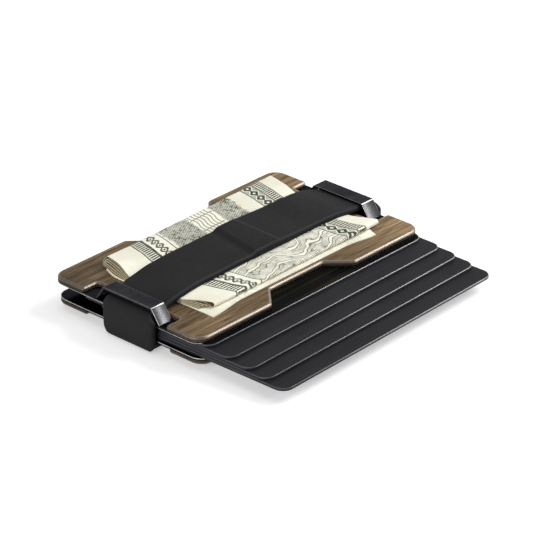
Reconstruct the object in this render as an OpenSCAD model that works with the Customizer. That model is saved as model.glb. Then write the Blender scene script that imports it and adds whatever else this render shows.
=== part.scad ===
// Slim card holder with a cash strap. Two walnut-faced metal plates close on a stack of cards, one elastic
// band runs lengthwise round both, and its top run passes under a bridge loop at each end and clips folded
// notes. X runs along the plates, the cards fan out towards -Y, and Z = 0 is the underside of the band.

/* [Cards] */
// Length of a card, along X
card_l = 85.6; // [80:0.2:92]
// Width of a card, along Y
card_w = 54; // [48:0.2:60]
// Thickness of a card
card_t = 0.76; // [0.5:0.02:1.2]
// Corner radius of a card
card_r = 3.2; // [1:0.1:6]
// Free height above each card
card_gap = 0.02; // [0.01:0.01:0.1]
// Shift of all cards along X inside the holder
card_shift = 0.2; // [0:0.1:0.8]
// Turn of the three lowest cards, in degrees; the second card turns half as far
fan_turn = 1.1; // [0:0.1:1.2]
// Distance that the top card is pulled out
card_1_out = 2; // [0:0.1:40]
// Distance that the second card is pulled out
card_2_out = 8.9; // [0:0.1:40]
// Distance that the third card is pulled out
card_3_out = 15.1; // [0:0.1:40]
// Distance that the fourth card is pulled out
card_4_out = 20.9; // [0:0.1:40]
// Distance that the lowest card is pulled out
card_5_out = 27; // [0:0.1:40]

/* [Plates] */
// Length of the plates beyond that of a card
plate_over_l = 2.4; // [2:0.1:8]
// Width of the plates beyond that of a card
plate_over_w = 0.4; // [0:0.1:6]
// Corner radius of the plates and scales
plate_r = 4; // [1:0.5:6]
// Thickness of a metal plate
plate_t = 0.7; // [0.6:0.1:2]
// Thickness of the adhesive film under a scale
film_t = 0.1; // [0.05:0.05:0.3]
// Thickness of a walnut scale
scale_t = 1.1; // [0.8:0.1:2.5]
// How far the lower plate and scale sit off the upper ones, towards -Y
plate_slip = 1; // [0:0.1:1.5]

/* [Thumb notches] */
// Width of a thumb notch at the plate's edge
thumb_mouth = 33; // [28:0.5:40]
// Width of a thumb notch at its floor
thumb_floor = 20.8; // [12:0.2:23]
// Depth of a thumb notch
thumb_depth = 6.2; // [4:0.1:8]
// Radius of a thumb notch's corners
thumb_r = 1.6; // [0.5:0.1:2]

/* [Band] */
// Width of the band
band_w = 18; // [12:0.5:22]
// Thickness of the band
band_t = 1.5; // [0.8:0.1:2]
// Clearance between the band's end runs and the plates' ends
band_gap = 0.1; // [0.05:0.05:0.4]
// Outer radius of the bends at the ends of the band's lower run
band_corner = 1; // [0.5:0.1:2]
// How far the band's top run sits off the plates' middle, towards -Y
strap_shift = 0.4; // [0:0.1:1]
// How far the band's lower run sits off the plates' middle, towards -Y
base_shift = 2.2; // [0:0.1:3]

/* [Loops] */
// Width of a loop's bar and legs, along X
loop_w = 4.8; // [3:0.1:7]
// Thickness of a loop's metal
loop_t = 0.6; // [0.4:0.1:1.2]
// Free height between the band and the bar above it
loop_lift = 0.9; // [0.1:0.1:1.5]
// Clearance between the band's edge and the nearer leg
loop_side = 0.5; // [0.1:0.1:1]
// How far a leg's foot stands out beyond the end of the bar
loop_splay = 3.6; // [2:0.1:5]
// Inside radius of the bends between the bar and its legs
loop_bend = 0.3; // [0.2:0.1:0.8]
// Distance of a loop from the plate's end
loop_inset = 0.2; // [0.1:0.1:1]
// Width of the tab that holds each leg in the plate, along X
tab_w = 3; // [1:0.1:3]
// Clearance round each tab in its slot
tab_clear = 0.05; // [0.02:0.01:0.1]
// Clearance between a loop's bar and the inner wall of the end notch
notch_clear = 0.4; // [0.2:0.1:1]
// Clearance between a leg's foot and the side wall of the end notch
notch_side = 2.1; // [1:0.1:4]
// Radius of the end notch's corners
notch_r = 0.8; // [0.2:0.1:0.9]

/* [Notes] */
// Width of a note, along X
note_w = 66.3; // [50:0.1:68]
// Length of a note before it is folded in four
note_l = 156; // [120:1:160]
// Thickness of the wad under the middle of the strap
note_stack = 1.9; // [1.2:0.1:4]
// Thickness of the wad at its two ends
note_edge = 0.5; // [0.3:0.1:1.2]
// Clearance above and below the wad
note_gap = 0.05; // [0.02:0.01:0.1]
// Clearance between two notes
ply_gap = 0.02; // [0.01:0.01:0.03]
// Shift of the notes along X
note_shift = 1.5; // [-1:0.1:2]
// Width that the rounding of the folds adds to the wad
fold_round = 1.2; // [0:0.1:2]
// Shift of the wad along Y
wad_shift = 1.7; // [-3:0.1:3]
// How far the lowest note stands out beyond the rest, towards -Y
under_out = 2; // [0:0.1:4]

/* [Hidden] */

// Segments in a rounded corner, and in the strap's arch
corner_steps = 6;
arch_steps = 24;
// Overcut of every slot past both faces
cut = 0.5;

card_out = [card_1_out, card_2_out, card_3_out, card_4_out, card_5_out];
cards = len(card_out);
plies = 4;

plate_l = card_l + plate_over_l;
plate_w = card_w + plate_over_w;

// Heights of the stack, from the floor up
z_scale_low = band_t;
z_film_low = z_scale_low + scale_t;
z_plate_low = z_film_low + film_t;
z_cards = z_plate_low + plate_t;
z_plate_high = z_cards + cards * (card_t + card_gap);
z_film_high = z_plate_high + plate_t;
z_scale_high = z_film_high + film_t;
z_top = z_scale_high + scale_t;

// Band: inner and outer faces of its end runs, and the inner radius of its four bends
band_in = plate_l / 2 + band_gap;
band_out = band_in + band_t;
band_bend = scale_t + film_t;

// Loop: bar above the strap, and legs that lean out to the plate
bar_low = z_top + band_t + loop_lift;
bar_high = bar_low + loop_t;
leg_h = bar_high - z_film_high;
leg_lean = loop_splay / leg_h;
leg_t = loop_t * sqrt(1 + leg_lean * leg_lean);
bar_half = band_w / 2 + strap_shift + loop_side + leg_t - leg_lean * (loop_lift + loop_t);
foot_out = bar_half + loop_splay;
foot_in = foot_out - leg_t;
eave_in = bar_half + leg_lean * loop_t - leg_t;
loop_x = plate_l / 2 - loop_inset - loop_w / 2;
notch_d = loop_inset + loop_w + notch_clear;
notch_w = 2 * (foot_out + notch_side);

// Notes: the strap arches over the wad, and falls straight from the wad's ends to the bars
arch_half = plate_l / 2 - loop_inset - loop_w;
arch_rise = note_stack + 2 * note_gap;
edge_rise = note_edge + 2 * note_gap;
wad_reach = note_w / 2 + abs(note_shift);
fold_w = note_l / plies + fold_round;

wood = "#6b563f";
black = "#1c1c1e";
metal = "#55565a";
silicone = "#2b2b2d";
paper = "#c9cbb6";

function unit(v) = v / norm(v);

// Arc of radius r about mid, from angle a to angle b
function arc(mid, r, a, b) =
    [for (k = [0:corner_steps]) let (t = a + (b - a) * k / corner_steps) mid + r * [cos(t), sin(t)]];

// Arc of radius r that rounds the corner c between its neighbours p and q
function corner(p, c, q, r) =
    let (
        u = unit(p - c),
        v = unit(q - c),
        half = acos(u * v) / 2,
        mid = c + unit(u + v) * r / sin(half),
        from = c + u * r / tan(half) - mid,
        to = c + v * r / tan(half) - mid,
        start = atan2(from.y, from.x),
        sweep = (atan2(to.y, to.x) - start + 540) % 360 - 180
    )
    arc(mid, r, start, start + sweep);

// Closed outline through points [x, y, radius]; a radius of 0 keeps the corner sharp
function rounded(points) =
    let (n = len(points))
    [for (i = [0:n - 1])
        let (p = points[(i + n - 1) % n], c = points[i], q = points[(i + 1) % n])
        each c.z > 0
            ? corner([p.x, p.y], [c.x, c.y], [q.x, q.y], c.z)
            : [[c.x, c.y]]];

function mirror_x(points) = [for (i = [len(points) - 1:-1:0]) [-points[i].x, points[i].y, points[i].z]];
function turned(points) = [for (p = points) [-p.x, -p.y, p.z]];

// Long edge of a plate at -Y, from the middle of its thumb notch to the corner at +X
function half_edge() = [
    [thumb_floor / 2, thumb_depth - plate_w / 2, thumb_r],
    [thumb_mouth / 2, -plate_w / 2, thumb_r],
    [plate_l / 2, -plate_w / 2, plate_r]
];
// One end of the end notch, at +X and -Y
function half_notch() = [
    [plate_l / 2, -notch_w / 2, notch_r],
    [plate_l / 2 - notch_d, -notch_w / 2, notch_r]
];
function plate_outline() = rounded(concat(
    mirror_x(half_edge()), half_edge(),
    turned(mirror_x(half_edge())), turned(half_edge())
));
function scale_outline() =
    let (side = concat(half_edge(), half_notch()), back = mirror_x(side))
    rounded(concat(back, side, turned(back), turned(side)));

// Height of the strap's underside over the upper scale, above the wad
function arch(x) = arch_rise - (arch_rise - edge_rise) * pow(x / wad_reach, 2);
function arch_x(k, from, to) = from + (to - from) * k / arch_steps;

// Side view of the strap's top run at one of its faces, from the end at +X to the end at -X
function strap_line(end_x, r, rise) = concat(
    [[end_x, z_plate_high]],
    arc([band_in - band_bend, z_top - band_bend], r, 0, 90),
    [[arch_half, z_top + rise]],
    [for (k = [0:arch_steps]) let (x = arch_x(k, wad_reach, -wad_reach)) [x, z_top + rise + arch(x)]],
    [[-arch_half, z_top + rise]],
    arc([band_bend - band_in, z_top - band_bend], r, 90, 180),
    [[-end_x, z_plate_high]]
);
// Side view of the band's lower run at one of its faces, from the end at -X to the end at +X
function base_line(end_x, z, r) = concat(
    [[-end_x, z_cards]],
    arc([r - end_x, z + r], r, 180, 270),
    arc([end_x - r, z + r], r, 270, 360),
    [[end_x, z_cards]]
);

function reversed(points) = [for (i = [len(points) - 1:-1:0]) points[i]];

// Extrudes a side view, drawn in X and Z, across a width centred on y
module across(width, y) {
    translate([0, y + width / 2, 0])
        rotate([90, 0, 0])
            linear_extrude(width)
                children();
}

module layer(outline, y, z, thickness) {
    translate([0, y, z])
        linear_extrude(thickness)
            polygon(outline);
}

module metal_plate(y, z) {
    color(black)
        layer(plate_outline(), y, z, plate_t);
}

module film(y, z) {
    color("#d8d2c0")
        layer(scale_outline(), y, z, film_t);
}

module walnut_scale(y, z) {
    color(wood)
        layer(scale_outline(), y, z, scale_t);
}

// Slots in the upper plate for the two tabs of one loop
module tab_slots(x) {
    for (side = [-1, 1])
        translate([x, side * (foot_out + foot_in) / 2, z_plate_high + plate_t / 2])
            cube([tab_w + 2 * tab_clear, leg_t + 2 * tab_clear, plate_t + 2 * cut], center = true);
}

module upper_plate() {
    color(black)
        difference() {
            metal_plate(0, z_plate_high);
            tab_slots(-loop_x);
            tab_slots(loop_x);
        }
}

// Bridge with splayed legs, bent from one strip, with a tab under each foot
module loop(x) {
    outline = rounded([
        [-foot_out, z_film_high, 0],
        [-foot_in, z_film_high, 0],
        [-eave_in, bar_low, loop_bend],
        [eave_in, bar_low, loop_bend],
        [foot_in, z_film_high, 0],
        [foot_out, z_film_high, 0],
        [bar_half, bar_high, loop_bend + loop_t],
        [-bar_half, bar_high, loop_bend + loop_t]
    ]);
    color(metal) {
        translate([x - loop_w / 2, 0, 0])
            rotate([90, 0, 90])
                linear_extrude(loop_w)
                    polygon(outline);
        for (side = [-1, 1])
            translate([x, side * (foot_out + foot_in) / 2, z_plate_high + plate_t / 2])
                cube([tab_w, leg_t, plate_t], center = true);
    }
}

module cash_strap() {
    color(silicone)
        across(band_w, -strap_shift)
            polygon(concat(
                strap_line(band_out, band_bend + band_t, band_t),
                reversed(strap_line(band_in, band_bend, 0))
            ));
}

module band_base() {
    color(silicone)
        across(band_w, -base_shift)
            polygon(concat(
                base_line(band_out, 0, band_corner),
                reversed(base_line(band_in, band_t, band_bend))
            ));
}

// The two end runs of the band, which lean from its lower run to its top run
module band_walls() {
    color(silicone)
        for (x = [-band_out, band_in])
            translate([x, 0, 0])
                rotate([90, 0, 90])
                    linear_extrude(band_t)
                        polygon([
                            [-base_shift - band_w / 2, z_cards],
                            [-base_shift + band_w / 2, z_cards],
                            [-strap_shift + band_w / 2, z_plate_high],
                            [-strap_shift - band_w / 2, z_plate_high]
                        ]);
}

// Card number i, counted from the top of the stack
module card(i) {
    outline = rounded([
        [-card_l / 2, -card_w / 2, card_r],
        [card_l / 2, -card_w / 2, card_r],
        [card_l / 2, card_w / 2, card_r],
        [-card_l / 2, card_w / 2, card_r]
    ]);
    color(black)
        translate([card_shift, -card_out[i - 1], z_cards + (cards - i) * (card_t + card_gap)])
            rotate([0, 0, fan_turn * min(1, (i - 1) / 2)])
                linear_extrude(card_t)
                    polygon(outline);
}

// One ply of the wad under the strap's arch, counted from the plate up
module note(ply, out) {
    from = note_shift - note_w / 2;
    to = note_shift + note_w / 2;
    function level(x, n) = z_top + note_gap + (arch(x) - 2 * note_gap) * n / plies;
    low = [for (k = [0:arch_steps]) let (x = arch_x(k, from, to)) [x, level(x, ply - 1)]];
    high = [for (k = [arch_steps:-1:0]) let (x = arch_x(k, from, to)) [x, level(x, ply) - ply_gap]];
    color(paper)
        across(fold_w, wad_shift - out)
            polygon(concat(low, high));
}

walnut_scale(0, z_scale_high);  // upper_scale
film(0, z_film_high);  // upper_film
upper_plate();
loop(-loop_x);  // left_loop
loop(loop_x);  // right_loop
cash_strap();
walnut_scale(-plate_slip, z_scale_low);  // lower_scale
film(-plate_slip, z_film_low);  // lower_film
metal_plate(-plate_slip, z_plate_low);  // lower_plate
band_walls();
band_base();
card(1);  // card_1
card(2);  // card_2
card(3);  // card_3
card(4);  // card_4
card(5);  // card_5
note(4, 0);  // outer_note
note(3, 0);  // middle_note
note(2, 0);  // inner_note
note(1, under_out);  // under_note
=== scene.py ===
import math

import bmesh
import bpy
import numpy as np
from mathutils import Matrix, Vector

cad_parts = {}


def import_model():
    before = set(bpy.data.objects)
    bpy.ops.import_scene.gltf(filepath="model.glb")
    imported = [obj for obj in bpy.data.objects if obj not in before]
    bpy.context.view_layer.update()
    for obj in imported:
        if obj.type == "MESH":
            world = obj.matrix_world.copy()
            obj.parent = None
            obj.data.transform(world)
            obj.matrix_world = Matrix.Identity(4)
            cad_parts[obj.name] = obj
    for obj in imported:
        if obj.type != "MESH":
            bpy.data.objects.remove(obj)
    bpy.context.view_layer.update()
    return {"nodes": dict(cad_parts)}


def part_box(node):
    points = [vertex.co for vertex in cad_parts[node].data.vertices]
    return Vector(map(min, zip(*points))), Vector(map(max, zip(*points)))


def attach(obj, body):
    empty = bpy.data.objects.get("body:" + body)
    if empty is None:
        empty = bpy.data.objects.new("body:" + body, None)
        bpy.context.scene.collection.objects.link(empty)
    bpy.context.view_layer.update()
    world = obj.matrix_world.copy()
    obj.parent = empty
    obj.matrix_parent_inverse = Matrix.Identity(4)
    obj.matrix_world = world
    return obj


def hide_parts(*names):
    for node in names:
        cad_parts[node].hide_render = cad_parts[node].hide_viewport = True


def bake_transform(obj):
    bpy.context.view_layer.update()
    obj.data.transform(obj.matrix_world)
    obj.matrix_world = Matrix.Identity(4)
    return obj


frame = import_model()

# Sizes below are in millimetres, as in the part's source, and meshes are scaled to metres.
MM = 0.001

CARD_L, CARD_W, CARD_R = 85.6, 54.0, 3.2
CARD_SHIFT = 0.2
CARD_OUT = (2.0, 8.9, 15.1, 20.9, 27.0)
CARD_TURN = (0.0, 0.55, 1.1, 1.1, 1.1)
PLATE_L, PLATE_W, PLATE_R = 88.0, 54.4, 4.0
PLATE_SLIP = 1.0
THUMB_MOUTH, THUMB_FLOOR, THUMB_DEPTH, THUMB_R = 33.0, 20.8, 6.2, 1.6
LOOP_W, LOOP_T, LOOP_BEND, LOOP_X, LOOP_Y = 4.8, 0.6, 0.3, 41.4, -0.9
BAR_HALF, FOOT_OUT, LEG_T = 8.85, 11.75, 0.73
TAB_W, TAB_CLEAR, TAB_SINK, TAB_R = 3.0, 0.05, 0.1, 0.05
NOTCH_W, NOTCH_D, NOTCH_R = 30.21, 5.4, 0.8
BAND_W, BAND_T, BAND_IN = 18.0, 1.5, 44.1
CREASE_X = 6.5
NOTE_W, NOTE_L = 66.3, 156.0


def top_of(node):
    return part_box(node)[1].z / MM


def foot_of(node):
    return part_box(node)[0].z / MM


Z_TOP = top_of("upper_scale")
Z_BAR = top_of("left_loop")
Z_BAR_LOW = Z_BAR - LOOP_T
Z_FOOT = top_of("upper_plate")
Z_PLATE_HIGH = foot_of("upper_plate")


# Geometry

def unit(v):
    return v / np.linalg.norm(v)


def smooth(t):
    t = np.clip(t, 0.0, 1.0)
    return t * t * (3.0 - 2.0 * t)


def ramp(value, start, end):
    """0 at start and 1 at end, with a smooth rise between them."""
    return smooth((value - start) / (end - start))


def ease(start, end, t):
    return start + (end - start) * smooth(t)


def curve(x, knots):
    """Smooth curve through knots [(x, y), ...]."""
    xs, ys = (np.array(c, float) for c in zip(*knots))
    slope = np.gradient(ys, xs)
    x = np.clip(x, xs[0], xs[-1])
    i = np.clip(np.searchsorted(xs, x, "right") - 1, 0, len(xs) - 2)
    step = xs[i + 1] - xs[i]
    t = (x - xs[i]) / step
    rise = t * t * (3 - 2 * t)
    lead = (t ** 3 - 2 * t * t + t) * step * slope[i]
    tail = (t ** 3 - t * t) * step * slope[i + 1]
    return ys[i] * (1 - rise) + ys[i + 1] * rise + lead + tail


def corner_arc(before, corner, after, radius, steps):
    u, v = unit(before - corner), unit(after - corner)
    half = math.acos(np.clip(u @ v, -1, 1)) / 2
    mid = corner + unit(u + v) * radius / math.sin(half)
    start = corner + u * radius / math.tan(half) - mid
    end = corner + v * radius / math.tan(half) - mid
    first = math.atan2(start[1], start[0])
    sweep = (math.atan2(end[1], end[0]) - first + 3 * math.pi) % (2 * math.pi) - math.pi
    turn = first + sweep * np.linspace(0, 1, steps + 1)
    return mid + radius * np.c_[np.cos(turn), np.sin(turn)]


def rounded(points, steps=10):
    """Closed outline through points (x, y, radius); a radius of 0 keeps the corner sharp."""
    points = np.array(points, float)
    rows = []
    for i, p in enumerate(points):
        if p[2] > 0:
            after = points[(i + 1) % len(points)]
            rows.append(corner_arc(points[i - 1][:2], p[:2], after[:2], p[2], steps))
        else:
            rows.append(p[None, :2])
    return np.concatenate(rows)


def inset(outline, depth):
    """The outline, which runs anticlockwise, moved inwards by depth."""
    into = outline - np.roll(outline, 1, 0)
    out = np.roll(outline, -1, 0) - outline
    into /= np.linalg.norm(into, axis=1)[:, None]
    out /= np.linalg.norm(out, axis=1)[:, None]
    a = np.c_[-into[:, 1], into[:, 0]]
    b = np.c_[-out[:, 1], out[:, 0]]
    return outline + depth * (a + b) / (1 + (a * b).sum(1))[:, None]


def rectangle(x, y, half_x, half_y):
    left, right, near, far = x - half_x, x + half_x, y - half_y, y + half_y
    return [(left, near), (right, near), (right, far), (left, far)]


def mirror_x(points):
    return [(-x, y, r) for x, y, r in reversed(points)]


def turned(points):
    return [(-x, -y, r) for x, y, r in points]


HALF_EDGE = [
    (THUMB_FLOOR / 2, THUMB_DEPTH - PLATE_W / 2, THUMB_R),
    (THUMB_MOUTH / 2, -PLATE_W / 2, THUMB_R),
    (PLATE_L / 2, -PLATE_W / 2, PLATE_R),
]
HALF_NOTCH = [
    (PLATE_L / 2, -NOTCH_W / 2, NOTCH_R),
    (PLATE_L / 2 - NOTCH_D, -NOTCH_W / 2, NOTCH_R),
]


def plate_outline():
    back = mirror_x(HALF_EDGE)
    return rounded(back + HALF_EDGE + turned(back) + turned(HALF_EDGE))


def scale_outline():
    side = HALF_EDGE + HALF_NOTCH
    back = mirror_x(side)
    return rounded(back + side + turned(back) + turned(side))


def card_outline():
    return rounded([(x, y, CARD_R) for x, y in rectangle(0, 0, CARD_L / 2, CARD_W / 2)])


# Flat rim beside a rounded edge, which keeps the shading of the face level
SKIRT = 0.05


def edge_profile(low, high, r_low, r_high, steps=4, zones=(1, 1, 1), bands=()):
    """Rows (inset, height, zone) of a slab's rounded side, from its lower face to its upper one.

    zones are the material slots of the lower rounding, the side and the upper rounding. bands are
    rows (height, zone) that split the side: from that height upwards it takes that zone.
    """
    turn = np.linspace(0, math.pi / 2, steps + 1)
    rows = [(r_low + SKIRT, low, 0)]
    rows += [(r_low * (1 - math.sin(t)), low + r_low * (1 - math.cos(t)), zones[0]) for t in turn[:-1]]
    rows += [(0.0, low + r_low, zones[1])]
    rows += [(0.0, height, zone) for height, zone in bands]
    rows += [(r_high * (1 - math.cos(t)), high - r_high * (1 - math.sin(t)), zones[2]) for t in turn[:-1]]
    rows += [(r_high, high, 0), (r_high + SKIRT, high, 0)]
    return rows


def add_slab(bm, outline, rows, place, holes=()):
    """A slab with the outline and side profile, drawn into bm; place turns (a, b, height) into a point."""
    rings = []
    for depth, height, _ in rows:
        ring = inset(outline, depth) if depth else outline
        rings.append([bm.verts.new(place(a, b, height)) for a, b in ring])
    n = len(outline)
    for k in range(len(rings) - 1):
        low, high = rings[k], rings[k + 1]
        for j in range(n):
            i = (j + 1) % n
            face = bm.faces.new((low[j], low[i], high[i], high[j]))
            face.material_index = rows[k][2]
    if not holes:
        bm.faces.new(list(reversed(rings[0])))
        bm.faces.new(rings[-1])
        return
    caps = [list(rings[0]), list(rings[-1])]
    edges = [[bm.edges.get((r[j], r[(j + 1) % n])) for j in range(n)] for r in caps]
    for hole in holes:
        walls = [[bm.verts.new(place(a, b, rows[k][1])) for a, b in hole] for k in (0, -1)]
        m = len(hole)
        for j in range(m):
            i = (j + 1) % m
            bm.faces.new((walls[0][i], walls[0][j], walls[1][j], walls[1][i]))
        for cap, wall in zip(edges, walls):
            cap += [bm.edges.get((wall[j], wall[(j + 1) % m])) for j in range(m)]
    for cap, up in zip(edges, (-1, 1)):
        bmesh.ops.triangle_fill(bm, use_beauty=True, edges=cap, normal=Vector((0, 0, up)))


def upright(a, b, height):
    return (a, b, height)


def finish_mesh(bm, name, materials, sharp_deg=35.0):
    """Turns bm, in millimetres, into an object in metres with smooth shading."""
    bmesh.ops.scale(bm, vec=(MM, MM, MM), verts=bm.verts)
    mesh = bpy.data.meshes.new(name)
    bm.to_mesh(mesh)
    bm.free()
    for material in materials:
        mesh.materials.append(material)
    mesh.shade_smooth()
    mesh.set_sharp_from_angle(angle=math.radians(sharp_deg))
    piece = bpy.data.objects.new(name, mesh)
    bpy.context.scene.collection.objects.link(piece)
    return piece


def put(piece, body, slot, *nodes):
    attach(piece, body)
    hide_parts(*nodes)


# Materials

NOISE_RANGE = (0.3, 0.7)


class Shader:
    """Builds one procedural material."""

    def __init__(self, name):
        self.material = bpy.data.materials.new(name)
        self.material.use_nodes = True
        self.tree = self.material.node_tree
        self.surface = self.tree.nodes["Principled BSDF"]

    def node(self, kind, **settings):
        made = self.tree.nodes.new(kind)
        for key, value in settings.items():
            setattr(made, key, value)
        return made

    def feed(self, socket, value):
        if isinstance(value, bpy.types.NodeSocket):
            self.tree.links.new(value, socket)
        else:
            socket.default_value = value

    def set(self, **sockets):
        for key, value in sockets.items():
            self.feed(self.surface.inputs[key.replace("_", " ")], value)

    def math(self, operation, a, b=0.0, c=0.0):
        made = self.node("ShaderNodeMath", operation=operation)
        for socket, value in zip(made.inputs, (a, b, c)):
            self.feed(socket, value)
        return made.outputs[0]

    def mix(self, share, a, b, blend="MIX"):
        made = self.node("ShaderNodeMix", data_type="RGBA", blend_type=blend)
        for index, value in ((0, share), (6, a), (7, b)):
            if isinstance(value, tuple):
                value = (*value, 1.0)
            self.feed(made.inputs[index], value)
        return made.outputs[2]

    def most(self, *values):
        top = values[0]
        for value in values[1:]:
            top = self.math("MAXIMUM", top, value)
        return top

    def times(self, *values):
        made = values[0]
        for value in values[1:]:
            made = self.math("MULTIPLY", made, value)
        return made

    def off(self, value, middle):
        """Distance of value from middle."""
        return self.math("ABSOLUTE", self.math("SUBTRACT", value, middle))

    def place(self):
        """Sockets x, y and z of the place on the object, in millimetres."""
        made = self.node("ShaderNodeSeparateXYZ")
        self.feed(made.inputs[0], self.scaled((1 / MM, 1 / MM, 1 / MM)))
        return tuple(made.outputs)

    def facing(self):
        """Sockets x, y and z of the surface's normal."""
        made = self.node("ShaderNodeSeparateXYZ")
        self.feed(made.inputs[0], self.node("ShaderNodeTexCoord").outputs["Normal"])
        return tuple(made.outputs)

    def scaled(self, scale):
        where = self.node("ShaderNodeTexCoord").outputs["Object"]
        made = self.node("ShaderNodeMapping")
        self.feed(made.inputs["Vector"], where)
        self.feed(made.inputs["Scale"], scale)
        return made.outputs[0]

    def noise(self, per_metre, detail=3.0, rough=0.5, warp=0.0):
        """Noise with about that many patches to a metre along X, Y and Z."""
        made = self.node("ShaderNodeTexNoise")
        for key, value in (("Vector", self.scaled(per_metre)), ("Scale", 1.0), ("Detail", detail),
                           ("Roughness", rough), ("Distortion", warp)):
            self.feed(made.inputs[key], value)
        return made.outputs[0]

    def span(self, value, low, high, to_low=0.0, to_high=1.0):
        made = self.node("ShaderNodeMapRange", interpolation_type="SMOOTHSTEP")
        for socket, v in zip(made.inputs, (value, low, high, to_low, to_high)):
            self.feed(socket, v)
        return made.outputs[0]

    def spread(self, noise, to_low=0.0, to_high=1.0):
        """Most of a noise's range, mapped to the values from to_low to to_high."""
        return self.span(noise, *NOISE_RANGE, to_low, to_high)

    def bump(self, height, depth_mm):
        made = self.node("ShaderNodeBump")
        self.feed(made.inputs["Distance"], depth_mm * MM)
        self.feed(made.inputs["Height"], height)
        self.feed(self.surface.inputs["Normal"], made.outputs[0])


def walnut(name, tones, gloss, rough, relief):
    """Oiled walnut with bands, fine lines and pores along X; painted light makes it darker towards -X, paler
    towards +X and paler in its near left corner.
    """
    dark, mid, light = tones
    s = Shader(name)
    broad = s.noise((16, 300, 300), detail=4, rough=0.6, warp=0.8)
    lines = s.noise((55, 1700, 1700), detail=4, rough=0.7, warp=0.35)
    pores = s.noise((105, 2600, 2600), detail=2, rough=0.5)
    figure = s.math("MULTIPLY_ADD", lines, 0.6, s.math("MULTIPLY", broad, 0.5))
    tone = s.mix(s.span(figure, 0.40, 0.58), dark, mid)
    tone = s.mix(s.span(figure, 0.55, 0.72), tone, light)
    pore = s.math("MULTIPLY", s.span(pores, 0.54, 0.64), relief)
    tone = s.mix(s.math("MULTIPLY", pore, 0.70), tone, tuple(0.30 * c for c in dark))
    x, y, _ = s.place()
    # Painted light and shade: a tone that rises from -X to +X, and a painted pool of light in the near left
    # corner
    paler = s.math("ADD", s.span(x, -50, -10, 0.50, 0.88), s.span(x, 14, 45, 0.0, 0.66))
    corner = s.times(s.span(x, -34, -20, 1.0, 0.0), s.span(y, -24, -6, 0.46, 0.0))
    drift = s.node("ShaderNodeVectorMath", operation="SCALE")
    s.feed(drift.inputs[0], tone)
    s.feed(drift.inputs["Scale"], s.math("ADD", paler, corner))
    s.set(Base_Color=drift.outputs[0], Roughness=s.spread(lines, rough - 0.06, rough + 0.08),
          Specular_IOR_Level=gloss)
    s.bump(s.math("SUBTRACT", s.math("MULTIPLY", lines, 0.5), pore), 0.035 * relief)
    return s


def walnut_edge(name, tones):
    """Polished edge, darker and duller where it crosses the grain at either end of a scale; wherever it faces
    -X it is painted darker as painted shade.
    """
    s = walnut(name, tones, gloss=1.0, rough=0.36, relief=0.25)
    x = s.place()[0]
    to_x, to_y, _ = s.facing()
    across = s.math("ABSOLUTE", to_x)
    level = s.math("ADD", across, s.math("ADD", s.math("ABSOLUTE", to_y), 0.001))
    # Painted shade: faces towards -X take the darker, duller tone along the whole scale
    ends_and_shaded_side = s.most(s.span(s.math("ABSOLUTE", x), 38.8, 40.2), s.span(to_x, -0.20, -0.05, 1.0, 0.0))
    end_grain_and_painted_shade = s.times(s.span(s.math("DIVIDE", across, level), 0.20, 0.42), ends_and_shaded_side)
    tone = s.surface.inputs["Base Color"].links[0].from_socket
    s.set(Base_Color=s.mix(end_grain_and_painted_shade, tone, (0.70, 0.70, 0.76), "MULTIPLY"),
          Specular_IOR_Level=s.span(end_grain_and_painted_shade, 0.0, 1.0, 1.0, 0.40),
          Specular_Tint=(1.0, 0.88, 0.74, 1.0), IOR=1.75)
    return s.material


def black_metal(name, tone, rough, dents_mm):
    """Dyed black metal with a fine blasted grain and shallow dents."""
    s = Shader(name)
    fine = s.noise((5200, 5200, 5200), detail=2, rough=0.6)
    dents = s.noise((900, 900, 900), detail=2)
    cloud = s.noise((160, 160, 160), detail=3)
    shade = s.mix(s.spread(cloud), tuple(0.8 * c for c in tone), tuple(1.25 * c for c in tone))
    s.set(Base_Color=shade, Metallic=1.0, Specular_Tint=(0.5, 0.5, 0.52, 1.0),
          Roughness=s.spread(cloud, rough - 0.03, rough + 0.05))
    s.bump(s.math("MULTIPLY_ADD", fine, 0.12, dents), dents_mm)
    return s.material


def cut_metal_and_highlight(name, tone, rough):
    """Bare metal where an edge has been cut bright; on the loops it also serves as painted highlights."""
    s = Shader(name)
    wear = s.noise((420, 420, 420), detail=4, rough=0.65)
    shade = s.mix(s.span(wear, 0.35, 0.65), tuple(0.55 * c for c in tone), tone)
    s.set(Base_Color=shade, Metallic=1.0, Roughness=s.spread(wear, rough + 0.1, rough))
    return s.material


def silicone(name):
    """Matte black silicone with a dusty bloom; faces towards -X are painted paler as painted light, and its
    near top edge and its crease carry painted highlights.
    """
    s = Shader(name)
    dust = s.noise((900, 900, 900), detail=5, rough=0.7)
    cloud = s.noise((60, 60, 60), detail=3)
    tone = s.mix(s.spread(cloud), (0.0116, 0.0116, 0.0126), (0.0158, 0.0158, 0.0168))
    tone = s.mix(s.math("MULTIPLY", s.span(dust, 0.55, 0.8), 0.25), tone, (0.040, 0.040, 0.042))
    x = s.place()[0]
    to_x, to_y, to_z = s.facing()
    # Painted light on faces towards -X, and painted highlights along the near top edge and on top of the
    # crease
    left = s.span(to_x, -0.9, -0.4, 0.34, 0.0)
    near = s.times(s.span(to_y, -0.30, -0.10, 1.0, 0.0), s.span(to_z, 0.45, 0.75))
    crease = s.times(s.span(s.off(x, CREASE_X), 0.3, 0.8, 1.0, 0.0), s.span(to_z, 0.5, 0.9, 0.0, 0.35))
    tone = s.mix(s.most(left, near, crease), tone, (0.027, 0.027, 0.029))
    s.set(Base_Color=tone, Roughness=s.spread(dust, 0.52, 0.64), Specular_IOR_Level=0.05)
    s.bump(dust, 0.008)
    return s.material


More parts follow.
